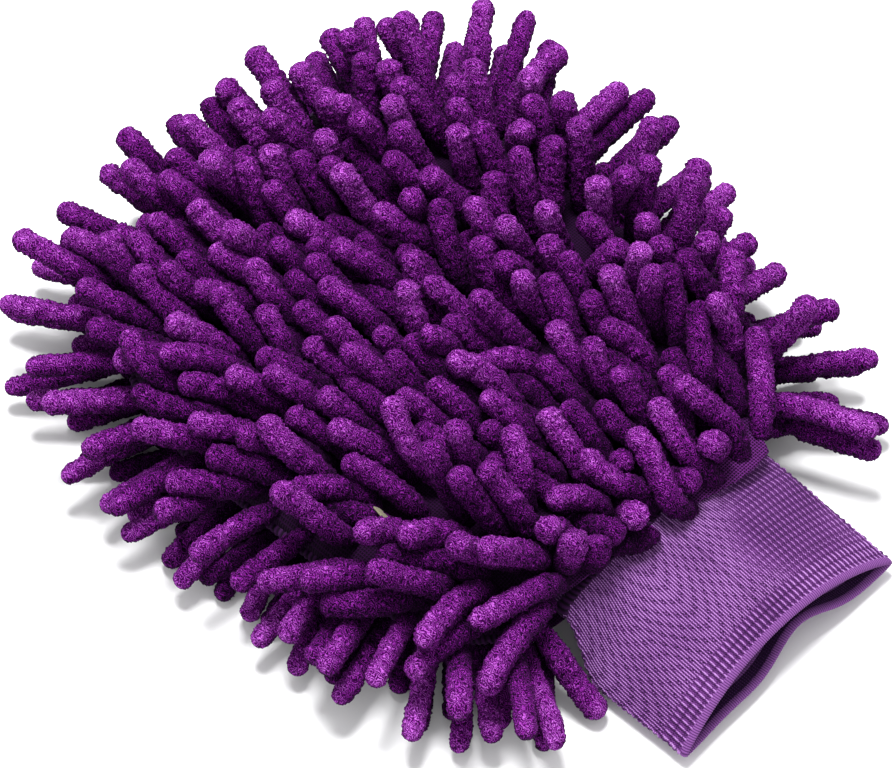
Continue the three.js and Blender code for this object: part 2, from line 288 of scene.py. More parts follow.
# How the back's pile was left lying: for each x (mm), its ys (mm) with the lean (x, y, z) there.
COMBED = {
    -76: [(100, -0.55, 0.83, 0.1), (70, -0.6, 0.75, 0.1), (40, -0.6, 0.78, 0.12),
        (10, -0.65, 0.72, 0.12), (-20, -0.75, 0.6, 0.1), (-45, -0.85, 0.4, 0.1)],
    -70: [(-70, -0.9, -0.1, 0.1)],
    -60: [(-84, -0.8, -0.55, 0)],
    -58: [(90, -0.2, 0.93, 0.25), (60, -0.25, 0.9, 0.36), (30, -0.28, 0.88, 0.36),
        (0, -0.35, 0.84, 0.36), (-25, -0.25, 0.88, 0.3), (-50, -0.3, 0.85, 0.35)],
    -62: [(-56, -0.85, 0.4, 0.15)],
    -48: [(-70, -0.9, -0.35, 0)],
    -38: [(-80, -0.7, -0.6, 0), (95, -0.05, 0.92, 0.35), (65, -0.12, 0.9, 0.4), (35, -0.12, 0.88, 0.44),
        (8, 0, 0.85, 0.5), (-18, -0.05, 0.8, 0.55)],
    -36: [(-42, 0, 0.35, 0.92)],
    -33: [(-58, -0.05, 0.1, 1)],
    -29: [(-70, -0.1, 0.15, 1)],
    -18: [(95, 0, 0.88, 0.45), (65, -0.25, 0.9, 0.32), (38, -0.26, 0.88, 0.38), (12, -0.2, 0.75, 0.6),
        (-12, -0.15, 0.7, 0.65), (-36, -0.1, 0.85, 0.45)],
    -16: [(-58, -0.05, 0.9, 0.4)],
    -14: [(-78, -0.2, 0.1, 0.6)],
    4: [(98, 0, 0.8, 0.6), (72, -0.1, 0.3, 0.92), (48, -0.25, 0.88, 0.36), (20, -0.25, 0.84, 0.42),
        (-15, -0.2, 0.75, 0.55), (-42, -0.1, 0.92, 0.3), (-66, 0.1, 0.8, 0.3)],
    26: [(98, 0.05, 0.8, 0.6), (70, 0, 0.4, 0.9), (45, 0, 0.55, 0.8), (15, -0.05, 0.6, 0.78),
        (-20, -0.02, 0.8, 0.6), (-48, 0, 0.8, 0.6), (-72, 0, 0.75, 0.35)],
    48: [(92, 0.1, 0.8, 0.55), (62, 0, 0.55, 0.8), (30, 0.05, 0.2, 0.98), (0, 0.05, 0.1, 1),
        (-30, 0.05, 0.1, 1), (-55, 0, 0.6, 0.75)],
    68: [(80, 0.2, 0.5, 0.8), (50, 0.2, 0.2, 0.95), (15, 0.3, 0, 0.95), (-20, 0.3, 0, 0.95),
        (-50, 0.2, 0.25, 0.95)],
    66: [(-72, 0.55, -0.2, 0.6)],
}


def combed_lean(x, y):
    """The back's lean at these plan points, from the few places in COMBED, the nearer the stronger."""
    places = np.array([(column, row[0]) for column, rows in COMBED.items() for row in rows]) * MM
    leans = np.array([row[1:] for rows in COMBED.values() for row in rows])
    gap = stack(x, y)[:, None] - places[None]
    weight = 1 / (np.sum(gap**2, axis=-1) + (9 * MM) ** 2) ** 1.6
    return (weight[..., None] * leans).sum(axis=1) / weight.sum(axis=1)[:, None]


def root_nearest(place, x, y, side):
    """Which of the back's roots is nearest to a plan place in millimetres."""
    return np.argmin(np.hypot(x - place[0] * MM, y - place[1] * MM) + (side < 0))


def lean_field(x, y, side, on_rim, rng):
    """The direction that each noodle takes with no neighbours: its root's normal, combed."""
    normal = panel_normal(x, y, side)
    centre_y = POUCH_CENTRE_Y - 10 * MM
    out = stack(x / POUCH_HALF_WIDTH, (y - centre_y) / POUCH_HALF_LENGTH, np.zeros_like(x))
    radius = np.linalg.norm(out, axis=-1, keepdims=True)
    outward = out / np.clip(radius, 1e-3, None)

    lean = combed_lean(x, y)
    # noodles low on the pouch's edge point straight out
    edge = on_rim & (side > 0)
    lean[edge] = outward[edge] * 1.2 + 0.45 * normal[edge] + [0, 0.12, 0.0]
    finger_right = bell(np.hypot(x - 80 * MM, y - 60 * MM), 0, 40 * MM)
    lean[edge] += finger_right[edge, None] * np.array([0.3, 0.0, 0.3])
    # palm noodles are pressed flat under the mitt
    palm = side < 0
    lean[palm] = normal[palm] + (0.9 + 1.6 * radius[palm]) * outward[palm]
    # the palm's noodles next to the cuff lie the other way, so that none is under it
    tucked = palm & (np.abs(x) < CUFF_ROOT_HALF_WIDTH - 2 * MM) & (y < ROOT_Y + NOODLE_LENGTH)
    lean[tucked, 1] = np.abs(lean[tucked, 1]) + 0.5
    # beside the cuff the back's noodles point away from it and those on the rim hang past it
    by_cuff = bell(np.hypot(np.abs(x) - 54 * MM, y + 82 * MM), 0, 16 * MM)
    sideways = np.where(on_rim, 0.1, 0.9) * np.sign(x)
    onward = np.where(on_rim & ~tucked, -0.7, 0.3)
    lean += by_cuff[:, None] * stack(sideways, onward, np.zeros_like(x))
    for place, own_lean, _ in OWN_ROOTS:
        lean[root_nearest(place, x, y, side)] = own_lean
    return unit(lean + rng.normal(0, 0.15, lean.shape))


def rim_reach(x, y):
    """How long the rim's noodles are, as a share of the usual length."""
    reach = np.ones_like(x)
    # plan middle (mm), width (mm) and size of each change
    for middle, width, change in (
        ((28, 108), 42, -0.44), ((84, 64), 24, 0.34), ((84, 20), 26, 0.20), ((-64, 104), 28, 0.40),
        ((78, 96), 16, -0.26), ((-84, -5), 40, -0.12), ((-52, -80), 16, 0.25), ((84, -42), 24, -0.34),
        ((60, -80), 14, 0.30),
    ):
        gap = np.hypot(x - middle[0] * MM, y - middle[1] * MM)
        reach += change * bell(gap, 0, width * MM)
    return reach


def neighbour_pairs(points, owner, reach):
    """Index pairs of points of different noodles, in the same or touching cells `reach` wide."""
    cell = np.floor(points / reach).astype(np.int64)
    cell -= cell.min(axis=0)
    size = cell.max(axis=0) + 3
    key = ((cell[:, 0] + 1) * size[1] + cell[:, 1] + 1) * size[2] + cell[:, 2] + 1
    order = np.argsort(key, kind="stable")
    sorted_keys = key[order]
    first, second = [], []
    for dx, dy, dz in itertools.product((-1, 0, 1), repeat=3):
        shift = (dx * size[1] + dy) * size[2] + dz
        start = np.searchsorted(sorted_keys, key + shift, side="left")
        span = np.searchsorted(sorted_keys, key + shift, side="right") - start
        source = np.repeat(np.arange(len(points)), span)
        step = np.arange(span.sum()) - np.repeat(np.cumsum(span) - span, span)
        target = order[np.repeat(start, span) + step]
        keep = (source < target) & (owner[source] != owner[target])
        first.append(source[keep])
        second.append(target[keep])
    return np.concatenate(first), np.concatenate(second)


def push_apart(points, where, side, top, bottom):
    """Moves chain points there up to `top` on the back and down to `bottom` on the palm."""
    z = points[..., 2]
    moved = np.where(side > 0, np.maximum(z, top), np.minimum(z, bottom))
    points[..., 2] = np.where(where, moved, z)


def keep_out_of_pouch(points, radius, side):
    """Pushes chain points off the pouch, on the side of the seam where they are rooted."""
    x, y = points[..., 0], points[..., 1]
    top = panel_height(x, y, 1) + 0.8 * radius
    bottom = panel_height(x, y, -1) - 0.8 * radius
    push_apart(points, plan_norm(x, y) < 1.0, side, top, bottom)


CUFF_ROOM = 7 * MM                     # kept clear of noodles above and below the cuff's middle
FOLD_X = 30 * MM                       # beyond this the cuff's side folds lie low,
FOLD_TOP = 16 * MM                     # all of them under this height


def keep_off_cuff(points, radius, side):
    """Pushes chain points above the cuff's top or below its underside."""
    x, y = points[..., 0], points[..., 1]
    over = (x > 3 * MM - CUFF_ROOT_HALF_WIDTH) & (x < CUFF_HALF_WIDTH + 1 * MM) & (y < ROOT_Y + 2 * MM)
    along = np.clip((ROOT_Y - y) / (ROOT_Y - MOUTH_Y), 0, 1)
    start_z, end_z = TUBE_TOP - CUFF_ROOM, HEM_LOW.z + 8 * MM
    middle = start_z + (end_z - start_z) * along
    push_apart(points, over, side, middle + CUFF_ROOM + radius, middle - CUFF_ROOM - radius)
    # low beside the cuff, they go round its folds
    clear = CUFF_HALF_WIDTH - 1 * MM + radius
    beside = (np.abs(x) > FOLD_X) & (np.abs(x) < clear) & (y < ROOT_Y - 4 * MM)
    beside &= points[..., 2] < FOLD_TOP
    points[..., 0] = np.where(beside, np.sign(x) * clear, x)


def curled_chains(roots, lean, length, rng):
    """Each noodle's own shape: a straight chain along its lean with a random curl, strong on a few."""
    count = len(roots)
    share = np.linspace(0, 1, CHAIN_POINTS)[None, :, None]
    sideways = unit(np.cross(lean, rng.normal(size=lean.shape)))
    hooked = rng.uniform(size=count) < 0.10
    curl = rng.uniform(0.5, 5.5, count) * MM + np.where(hooked, rng.uniform(6, 12, count), 0) * MM
    straight = lean[:, None, :] * share * length[:, None, None]
    return roots[:, None, :] + straight + (sideways * curl[:, None])[:, None, :] * share**2


def settle(roots, lean, side, length, radius, rng):
    """Position-based relaxation of every noodle as a chain: shape memory, weight and contact."""
    count = len(roots)
    segment = (length / (CHAIN_POINTS - 1))[:, None]
    aim = curled_chains(roots, lean, length, rng)
    chain = aim.copy()
    # a noodle bends in one smooth curve, so each round pulls it to the nearest cubic through its root
    share = np.linspace(0, 1, CHAIN_POINTS)
    powers = np.stack([share, share**2, share**3], axis=1)
    smoother = powers @ np.linalg.pinv(powers)
    owner = np.repeat(np.arange(count), CHAIN_POINTS)
    radii = np.repeat(radius, CHAIN_POINTS)
    side, thick = side[:, None], radius[:, None]
    memory = np.linspace(0.30, 0.012, CHAIN_POINTS)[None, :, None]
    sink = np.arange(1, CHAIN_POINTS) / CHAIN_POINTS
    rounds = 180
    for step in range(rounds):
        if step <= rounds * 0.8:
            chain[:, 1:, 2] -= 0.08 * MM * sink * (side > 0)
            chain += memory * (aim - chain)
        curve = roots[:, None, :] + np.einsum("ij,njc->nic", smoother, chain - roots[:, None, :])
        chain += 0.8 * (curve - chain)
        bend = 0.5 * (chain[:, :-2] + chain[:, 2:]) - chain[:, 1:-1]
        chain[:, 1:-1] += 0.30 * bend
        chain[:, 2:] -= 0.10 * bend
        if step % 6 == 0:
            first, second = neighbour_pairs(chain.reshape(-1, 3), owner, 2.7 * NOODLE_RADIUS)
        flat = chain.reshape(-1, 3)
        gap = flat[first] - flat[second]
        distance = np.linalg.norm(gap, axis=-1)
        wanted = 1.05 * (radii[first] + radii[second])
        overlap = np.clip(wanted - distance, 0, None)
        push = (0.45 * overlap / np.clip(distance, 1e-6, None))[:, None] * gap
        move = np.zeros_like(flat)
        np.add.at(move, first, push)
        np.add.at(move, second, -push)
        chain = (flat + 0.55 * move).reshape(chain.shape)
        keep_out_of_pouch(chain[:, 1:], thick, side)
        keep_off_cuff(chain[:, 1:], thick, side)
        chain[..., 2] = np.maximum(chain[..., 2], thick * 0.96)
        chain[:, 0] = roots
        for k in range(1, CHAIN_POINTS):
            link = chain[:, k] - chain[:, k - 1]
            link *= segment / np.clip(np.linalg.norm(link, axis=-1, keepdims=True), 1e-9, None)
            chain[:, k] = chain[:, k - 1] + link
    chain[..., 2] = np.maximum(chain[..., 2], thick * 0.96)
    return chain


# ---- noodle meshes ----

def spline_weights(samples, points):
    """Catmull-Rom weights: row s gives the point at parameter samples[s] from the chain's points."""
    # one more point at each end carries the chain on in a straight line
    spread = np.zeros((points + 2, points))
    spread[1:-1] = np.eye(points)
    spread[0, :2] = (2, -1)
    spread[-1, -2:] = (-1, 2)
    at = np.minimum(samples * (points - 1), points - 1 - 1e-9)
    base = at.astype(int)
    t = at - base
    basis = (
        -0.5 * t + t * t - 0.5 * t**3,
        1 - 2.5 * t * t + 1.5 * t**3,
        0.5 * t + 2 * t * t - 1.5 * t**3,
        -0.5 * t * t + 0.5 * t**3,
    )
    return sum(share[:, None] * spread[base + step] for step, share in enumerate(basis))


def ring_positions():
    """Parameters of the rings from root to tip, closer together round the tip."""
    tip_rings = RINGS // 5
    body = np.linspace(0, 1, RINGS - tip_rings, endpoint=False)
    body_share = 1 - NOODLE_RADIUS / NOODLE_LENGTH
    angle = np.linspace(0, math.pi / 2, tip_rings)
    tip = body_share + (1 - body_share) * np.sin(angle * 0.985)
    return np.concatenate([body * body_share, tip])


# painted shade: how far and how strongly the noodles above a point darken its colour
COVER_REACH = 12 * MM                  # how far away a noodle still shades another
COVER_WIDTH = 8 * MM
COVER_RISE = 3 * MM                    # a noodle this much higher shades fully
COVER_STRENGTH = 0.30
UPRIGHT_PAINTED_SKYLIGHT = 0.85                     # painted light: how open to the sky, and so how lit, the sides of an upright noodle are painted


def noodle_cover(chains):
    """How much of each chain point is under other noodles, for the painted shade: 0 in the open, 1 or more
    deep in the pile.
    """
    points = chains.reshape(-1, 3)
    owner = np.repeat(np.arange(len(chains)), CHAIN_POINTS)
    first, second = neighbour_pairs(points, owner, COVER_REACH)
    gap = points[second] - points[first]
    near = bell(np.linalg.norm(gap, axis=-1), 0, COVER_WIDTH)
    rise = np.clip(gap[:, 2] / COVER_RISE, -1, 1)
    cover = np.zeros(len(points))
    np.add.at(cover, first, near * np.clip(rise, 0, 1))
    np.add.at(cover, second, near * np.clip(-rise, 0, 1))
    return (COVER_STRENGTH * cover).reshape(chains.shape[:2])


def ring_directions(tangent, angle, rng):
    """Unit vectors from each ring's middle to its vertices, with no twist along the noodle."""
    across = unit(np.cross(tangent[:, 0], rng.normal(size=tangent[:, 0].shape)))
    frame_a = np.empty_like(tangent)
    for ring in range(RINGS):
        across = unit(across - tangent[:, ring] * np.sum(across * tangent[:, ring], axis=-1, keepdims=True))
        frame_a[:, ring] = across
    frame_b = np.cross(tangent, frame_a)
    turn = angle[None, None, :, None]
    return frame_a[:, :, None, :] * np.cos(turn) + frame_b[:, :, None, :] * np.sin(turn)


# soft lumps on each noodle: waves round it, waves along it, size as a share of its radius
LUMPS = [(0, 2.5, 0.022), (1, 3.5, 0.024), (2, 5.0, 0.022), (3, 7.0, 0.020), (2, 9.0, 0.020)]


def ring_radii(radius, along, angle, rng):
    """Radius at each vertex: narrow at the root, fullest near the tip, round at the end, and knobbly."""
    from_tip = (1 - along) * NOODLE_LENGTH / NOODLE_RADIUS
    rounding = np.sqrt(np.clip(1 - np.clip(1 - from_tip, 0, 1) ** 2, 0.0, 1))
    profile = (0.80 + 0.20 * ease(along / 0.30)) * rounding
    swell = np.zeros((len(radius), RINGS, SIDES))
    for turns, waves, size in LUMPS:
        phase = rng.uniform(0, TURN, (len(radius), 1, 1))
        pace = waves * rng.uniform(0.8, 1.25, (len(radius), 1, 1))
        wave = turns * angle[None, None, :] + TURN * pace * along[None, :, None] + phase
        swell += size * np.cos(wave)
    grain = 0.20 * rng.uniform(0, 1, swell.shape) ** 2.2 - 0.05
    profile = profile[None, :, None]
    return radius[:, None, None] * (profile * (1 + swell) + grain * np.sqrt(profile))


def noodle_mesh(name, chains, radius, cover, rng):
    """One closed mesh holding these noodles: knobbly fingers with narrow roots and round tips."""
    count = len(chains)
    along = ring_positions()
    weights = spline_weights(along, CHAIN_POINTS)
    centre = np.einsum("rk,nkc->nrc", weights, chains)
    tangent = unit(np.gradient(centre, axis=1))
    angle = np.linspace(0, TURN, SIDES, endpoint=False)
    direction = ring_directions(tangent, angle, rng)
    points = centre[:, :, None, :] + direction * ring_radii(radius, along, angle, rng)[..., None]
    points[..., 2] = np.maximum(points[..., 2], 0)
    root = centre[:, :1] - tangent[:, :1] * 0.3 * MM
    tip = centre[:, -1:] + tangent[:, -1:] * 0.15 * MM
    vertices = np.concatenate([points.reshape(count, -1, 3), root, tip], axis=1)

    per_noodle = vertices.shape[1]
    offsets = np.arange(count)[:, None, None] * per_noodle
    groups = []
    for faces in tube_faces(RINGS, SIDES):
        turned = np.roll(faces[:, ::-1], 1, axis=1)
        groups.append((turned[None] + offsets).reshape(-1, faces.shape[1]))
    mesh = build_mesh(name, vertices.reshape(-1, 3), groups)

    # painted light and shade: how open each vertex is to the sky, low on the underside and under other
    # noodles; the material paints the colour darker where it is low
    covered = np.einsum("rk,nk->nr", weights, cover)
    upright = tangent[..., 2:] ** 2
    sky = (0.5 + 0.5 * direction[..., 2]) * (1 - upright) + UPRIGHT_PAINTED_SKYLIGHT * upright
    sky = sky * (1 - np.clip(covered, 0, 1))[:, :, None]
    root_painted_skylight, tip_painted_skylight = np.zeros((count, 1)), sky[:, -1, :1]
    add_attribute(mesh, "sky", np.concatenate([sky.reshape(count, -1), root_painted_skylight, tip_painted_skylight], axis=1))
    add_attribute(mesh, "tint", np.repeat(rng.uniform(0, 1, count), per_noodle))
    add_attribute(mesh, "toward_tip", np.tile(np.concatenate([np.repeat(along, SIDES), [0, 1]]), count))
    return mesh


def build_mesh(name, vertices, face_groups):
    """A smooth-shaded mesh object from a vertex array and arrays of faces of equal size."""
    mesh = bpy.data.meshes.new(name)
    mesh.vertices.add(len(vertices))
    mesh.vertices.foreach_set("co", np.asarray(vertices, np.float32).ravel())
    loops = np.concatenate([group.ravel() for group in face_groups]).astype(np.int32)
    sizes = np.concatenate([np.full(len(group), group.shape[1]) for group in face_groups])
    mesh.loops.add(len(loops))
    mesh.loops.foreach_set("vertex_index", loops)
    mesh.polygons.add(len(sizes))
    mesh.polygons.foreach_set("loop_start", np.concatenate([[0], np.cumsum(sizes)[:-1]]).astype(np.int32))
    mesh.polygons.foreach_set("use_smooth", np.ones(len(sizes), bool))
    mesh.update(calc_edges=True)
    mesh.validate()
    return link_new(name, mesh)


def add_attribute(piece, name, values):
    """Gives each vertex a value that its material reads by this name."""
    attribute = piece.data.attributes.new(name, "FLOAT", "POINT")
    attribute.data.foreach_set("value", np.asarray(values, np.float32).ravel())


def grow_noodles(material):
    """Roots, settles and meshes every noodle, one piece for each CAD node that it replaces."""
    rng = np.random.default_rng(SEED)
    rows, rims = row_roots(rng), rim_roots(rng)
    x, y, side, names = (np.array(values) for values in zip(*rows, *rims))
    on_rim = np.arange(len(x)) >= len(rows)
    roots = stack(x, y, panel_height(x, y, side)) - panel_normal(x, y, side) * 0.6 * MM
    lean = lean_field(x, y, side, on_rim, rng)
    # the change of length tells in full on the rim and in part elsewhere
    reach = 1 + (rim_reach(x, y) - 1) * np.where(on_rim, 1, 0.4)
    length = NOODLE_LENGTH * rng.uniform(0.88, 1.08, len(roots)) * reach
    for place, _, share in OWN_ROOTS:
        length[root_nearest(place, x, y, side)] = NOODLE_LENGTH * share
    radius = np.where(side < 0, PALM_RADIUS, np.where(on_rim, RIM_RADIUS, NOODLE_RADIUS))
    radius = radius * rng.uniform(0.93, 1.06, len(roots))
    chains = settle(roots, lean, side, length, radius, rng)
    cover = noodle_cover(chains)
    for name in sorted(set(names)):
        mine = names == name
        piece_name = name.replace("_row_", "s_row_") if "_row_" in name else name + "_pile"
        piece = noodle_mesh(piece_name, chains[mine], radius[mine], cover[mine], rng)
        crosses_root = name in ("back_noodle_row_01", "back_noodle_row_02")
        finish_piece(piece, name, material, None if crosses_root else "mitt")
        if crosses_root:
            fold_with_cuff(piece)


# ---- the cuff ----

WALE = 0.9 * MM                        # one column of knit stitches, running along the cuff
STEPS_PER_WALE = 4
GIRTH = 4.05 * CUFF_HALF_WIDTH         # round the mouth
WALES = int(round(GIRTH / WALE / 2)) * 2
KNIT_THICKNESS = 1.1 * MM
COURSE = 1.2 * MM                      # one row of feather dots
FEATHERS = 6                           # feathers round the cuff
WAFFLE_ROW = 2.3 * MM                  # one row of raised waffle cells
KNIT_RUN_ON = 3.6 * MM                 # how far the sleeve's pattern runs on into the ribbed band
RIB_DEPTH = RIB_HIGH.y - RIB_LOW.y + 0.4 * MM - KNIT_RUN_ON
RIB_ROWS = 2
CORNER_Z = 4.6 * MM                    # where the mouth's two side folds lie


def cuff_mouth(turn):
    """Points of the mouth's middle line. The upper lip arches; the lower lip sags, then kinks up."""
    share = (1 - np.cos(turn)) / 2
    lift = np.sin(turn)
    fold = 0.9 * MM * np.sign(lift) * np.abs(lift) ** 0.5
    upper_z = 12.4 * MM * np.abs(lift) ** 1.8
    upper_y = 4.0 * MM * lift**2
    ends = np.abs(lift) ** 0.6
    lower_z = ends * (7.4 * MM * bell(share, 0.60, 0.16) + 1.4 * MM * bell(share, 0.22, 0.16))
    lower_y = ends * (3.4 * MM * bell(share, 0.57, 0.16) + 0.6 * MM * bell(share, 0.20, 0.15))
    above = lift > 0
    x = 0.9 * MM - (CUFF_HALF_WIDTH - 2.4 * MM) * np.cos(turn)
    y = MOUTH_Y - 0.9 * MM + np.where(above, upper_y, lower_y)
    z = CORNER_Z + fold + np.where(above, upper_z, lower_z)
    return stack(x, y, z)


def cuff_root(turn):
    """Points of the cuff's middle line where it leaves the pouch: a flat oval, level with the seam."""
    lift = np.sin(turn)
    x = -(CUFF_ROOT_HALF_WIDTH - 0.5 * MM) * np.sign(np.cos(turn)) * np.abs(np.cos(turn)) ** 0.9
    z = SEAM_Z + 6.4 * MM * np.sign(lift) * np.abs(lift) ** 0.8
    return stack(x, np.full_like(x, ROOT_Y), z)


def cuff_ring(along, count):
    """One closed ring of points, evenly spaced, at a share of the cuff's length from its root."""
    turn = np.linspace(0, TURN, 1601) + math.pi / 2
    root, mouth = cuff_root(turn), cuff_mouth(turn)
    share = max(along, 0.0)
    upper = np.sin(turn) > 0
    # the left fold drops to the floor soon after the root; the rest slopes evenly to the mouth
    left_fold = np.clip(np.cos(turn), 0, 1) ** 3
    early = ease(share / 0.34)
    even = share ** np.where(upper, 1.1, 1.25)
    outwards = share**0.85 + (early - share**0.85) * left_fold
    mix = stack(outwards, np.full_like(turn, along), even + (early - even) * left_fold)
    line = root + (mouth - root) * mix
    # slack cloth: the upper layer dips a little behind the lip, and shallow folds run to the root
    slack = math.sin(math.pi * min(share, 1)) ** 2
    line[:, 2] += (SEAM_Z - line[:, 2]) * min(max(-along, 0) * 6, 0.5)
    line[:, 2] += 0.8 * MM * slack * np.sin(line[:, 0] / (9.5 * MM) + 0.6) * (0.3 + 0.7 * upper)
    travelled = travel(line)
    return points_at(line, travelled, np.arange(count) / count * travelled[-1])


def knit_relief(around, down, point):
    """(height, tone) of the sleeve's knit at each vertex: waffle cells right, feathers elsewhere."""
    wale = around / WALE
    ridge = np.cos(TURN * wale)
    across = point[..., 0] / CUFF_HALF_WIDTH
    waffle = 1 / (1 + np.exp(-(across - 0.28 - 0.10 * np.sin(down / (6 * MM))) / 0.05))
    # feather: dots on slanting lines that meet in a row of chevrons along the cuff
    repeat = WALES * WALE / FEATHERS
    inside = np.abs(((around / repeat) % 1) - 0.5) * 2
    slant = (inside**1.4 * repeat * 0.75 + down) / (5.6 * MM)
    line = 0.5 + 0.5 * np.cos(TURN * slant)
    stagger = np.where(np.floor(wale / 2) % 2 > 0, 0.5, 0.0)
    dots = 0.5 + 0.5 * np.cos(math.pi * wale)
    dots = dots * (0.5 + 0.5 * np.cos(TURN * (down / COURSE + stagger)))
    feather = -1.5 * np.clip(line - 0.35, 0, 1) * dots**1.3
    waffle_height = np.abs(np.cos(math.pi * wale / 2)) ** 0.7
    waffle_height = waffle_height * (0.25 + 0.75 * np.abs(np.cos(math.pi * down / WAFFLE_ROW)) ** 0.8)
    height = (1 - waffle) * (0.06 * ridge + 0.26 * feather) + waffle * (0.42 * waffle_height - 0.2)
    # tone: the feather dots are the knit's own pattern; the wale ridges and waffle cells are painted
    # lighter and the hollows between them darker, as painted light and painted shade
    tone = (1 - waffle) * (0.58 + 0.12 * ridge + 0.62 * feather) + waffle * (0.26 + 0.40 * waffle_height)
    return height * MM, np.clip(tone, 0, 1)


def rib_relief(around, down, point):
    """(height, tone) of the ribbed band: rows of short ridges two wales wide, with painted shade in the
    notches between them.
    """
    from_ribs = down - (ROOT_Y - RIB_START_Y + KNIT_RUN_ON)
    ridge = np.abs(np.cos(math.pi * around / (2 * WALE))) ** 0.8
    row = np.abs(np.cos(math.pi * (from_ribs / (RIB_DEPTH / RIB_ROWS) - 0.5))) ** 0.35
    height = ridge * (0.25 + 0.75 * row)
    knit_height, knit_tone = knit_relief(around, down, point)
    ribbed = 1 / (1 + np.exp(-from_ribs / (0.2 * MM)))
    rib_height = 0.62 * MM * height - 0.25 * MM
    # painted light and shade: lighter on the ridges, darker in the notches where the relief is low
    rib_tone = 0.16 + 0.60 * height
    return knit_height + (rib_height - knit_height) * ribbed, knit_tone + (rib_tone - knit_tone) * ribbed


def grid_normals(points):
    """Normals of a grid that closes on itself round the cuff, pointing outwards."""
    along = np.gradient(points, axis=0)
    around = np.roll(points, -1, axis=1) - np.roll(points, 1, axis=1)
    return unit(np.cross(along, around))


def ring_faces(first, second, count):
    """Quads between two closed rings given by their first indices."""
    here = np.arange(count)
    after = (here + 1) % count
    return stack(first + here, second + here, second + after, first + after)


def tube_faces(rings, count):
    """Quads along a tube of closed rings, and the triangles from two poles that close its ends."""
    quads = np.concatenate([ring_faces(row * count, (row + 1) * count, count) for row in range(rings - 1)])
    here = np.arange(count)
    after = (here + 1) % count
    pole, last = rings * count, (rings - 1) * count
    start = stack(np.full(count, pole), here, after)
    end = stack(np.full(count, pole + 1), last + after, last + here)
    return quads, np.concatenate([start, end])


def closed_sleeve(name, rows):
    """A closed sheet from rings of points: down its outside to the mouth, and back up its inside."""
    count = rows.shape[1]
    quads = [ring_faces(row * count, (row + 1) % len(rows) * count, count) for row in range(len(rows))]
    return build_mesh(name, rows.reshape(-1, 3), quads)


def knit_sleeve(name, start_y, end_y, row_step, relief):
    """A length of the cuff as a sheet with its stitches modelled on the outside."""
    count = WALES * STEPS_PER_WALE
    rows = int(abs(start_y - end_y) / row_step) + 1
    ys = np.linspace(start_y, end_y, rows)
    rings = np.stack([cuff_ring((ROOT_Y - y) / CUFF_LENGTH, count) for y in ys])
    normal = grid_normals(rings)
    around = np.broadcast_to(np.arange(count) * WALE / STEPS_PER_WALE, rings.shape[:2])
    down = np.broadcast_to((ROOT_Y - ys)[:, None], rings.shape[:2])
    height, tone = relief(around, down, rings)
    # gathers at the root, and loops of yarn along the side folds
    gather = 0.3 * MM * bell(down, 0, 6 * MM) * np.sin(TURN * around / (5.4 * MM))
    fold = bell(np.abs(normal[..., 0]), 1, 0.25)
    loops = 0.5 * MM * fold * np.abs(np.cos(math.pi * down / (1.9 * MM)))
    edge = np.minimum(np.arange(rows), np.arange(rows)[::-1])[:, None]
    thin = np.where(edge == 0, 0.35, np.where(edge == 1, 0.8, 1.0))
    half = KNIT_THICKNESS / 2 * thin
    outer = rings + normal * (half + height * (thin > 0.9) + gather + loops)[..., None]
    keep = np.unique(np.concatenate([np.arange(0, rows, 4), [rows - 1]]))
    inner_bump = 0.10 * MM * np.cos(TURN * around / WALE)
    inner = rings - normal * (half + inner_bump - gather)[..., None]
    rows_out_and_in = np.concatenate([outer, inner[keep][::-1]])
    piece = closed_sleeve(name, rows_out_and_in)
    values = {
        # the inner face gets a plain tone, darker than the outside
        "tone": (tone, np.full_like(tone, 0.30)),
        "around": (around, around),
        "along": (down, down),
        "inside": (np.zeros_like(tone), np.ones_like(tone)),
    }
    for key, (outside, inside) in values.items():
        add_attribute(piece, key, np.concatenate([outside, inside[keep][::-1]]))
    return piece


def swept_band(name, path, outward, closed, half_depth, half_height, pitch, slant, relief, turns=18):
    """A thread-wound band along a path: an oval section with slanted ridges, as stitches make.

    `pitch` is the distance between ridges, `slant` how far they turn round the band, and `relief` their
    height as a share of the section.
    """
    count = len(path)
    if closed:
        tangent = unit(np.roll(path, -1, axis=0) - np.roll(path, 1, axis=0))
    else:
        tangent = unit(np.gradient(path, axis=0))
    outward = unit(outward - tangent * np.sum(outward * tangent, axis=-1, keepdims=True))
    beside = np.cross(tangent, outward)
    angle = np.linspace(0, TURN, turns, endpoint=False)
    wave = np.cos(TURN * travel(path)[:, None] / pitch + slant * np.sin(angle)[None, :])
    swell = 1 + relief * wave
    if not closed:
        from_end = np.minimum(np.arange(count), np.arange(count)[::-1])
        swell = swell * np.clip(from_end / 6, 0.15, 1)[:, None] ** 0.5
    across = beside[:, None] * (half_depth * np.cos(angle)[None, :] * swell)[..., None]
    up = outward[:, None] * (half_height * np.sin(angle)[None, :] * swell)[..., None]
    vertices = (path[:, None] + across + up).reshape(-1, 3)
    # painted shade: the yarn's colour is darker in the hollows between the ridges
    tone = (0.5 + 0.5 * wave).ravel()
    if closed:
        groups = [ring_faces(row * turns, (row + 1) % count * turns, turns) for row in range(count)]
    else:
        groups = tube_faces(count, turns)
        vertices = np.concatenate([vertices, path[:1], path[-1:]])
        tone = np.concatenate([tone, [0.5, 0.5]])
    piece = build_mesh(name, vertices, groups)
    add_attribute(piece, "tone", tone)
    return piece


def cuff_path(y, spacing, offset):
    """A ring round the cuff at `y`, `offset` outside its middle surface, and its outward normals."""
    step = 1 * MM
    count = int(GIRTH / spacing)
    rings = np.stack([cuff_ring((ROOT_Y - y + d) / CUFF_LENGTH, count) for d in (-step, 0, step)])
    normal = grid_normals(rings)[1]
    return rings[1] + normal * offset, normal


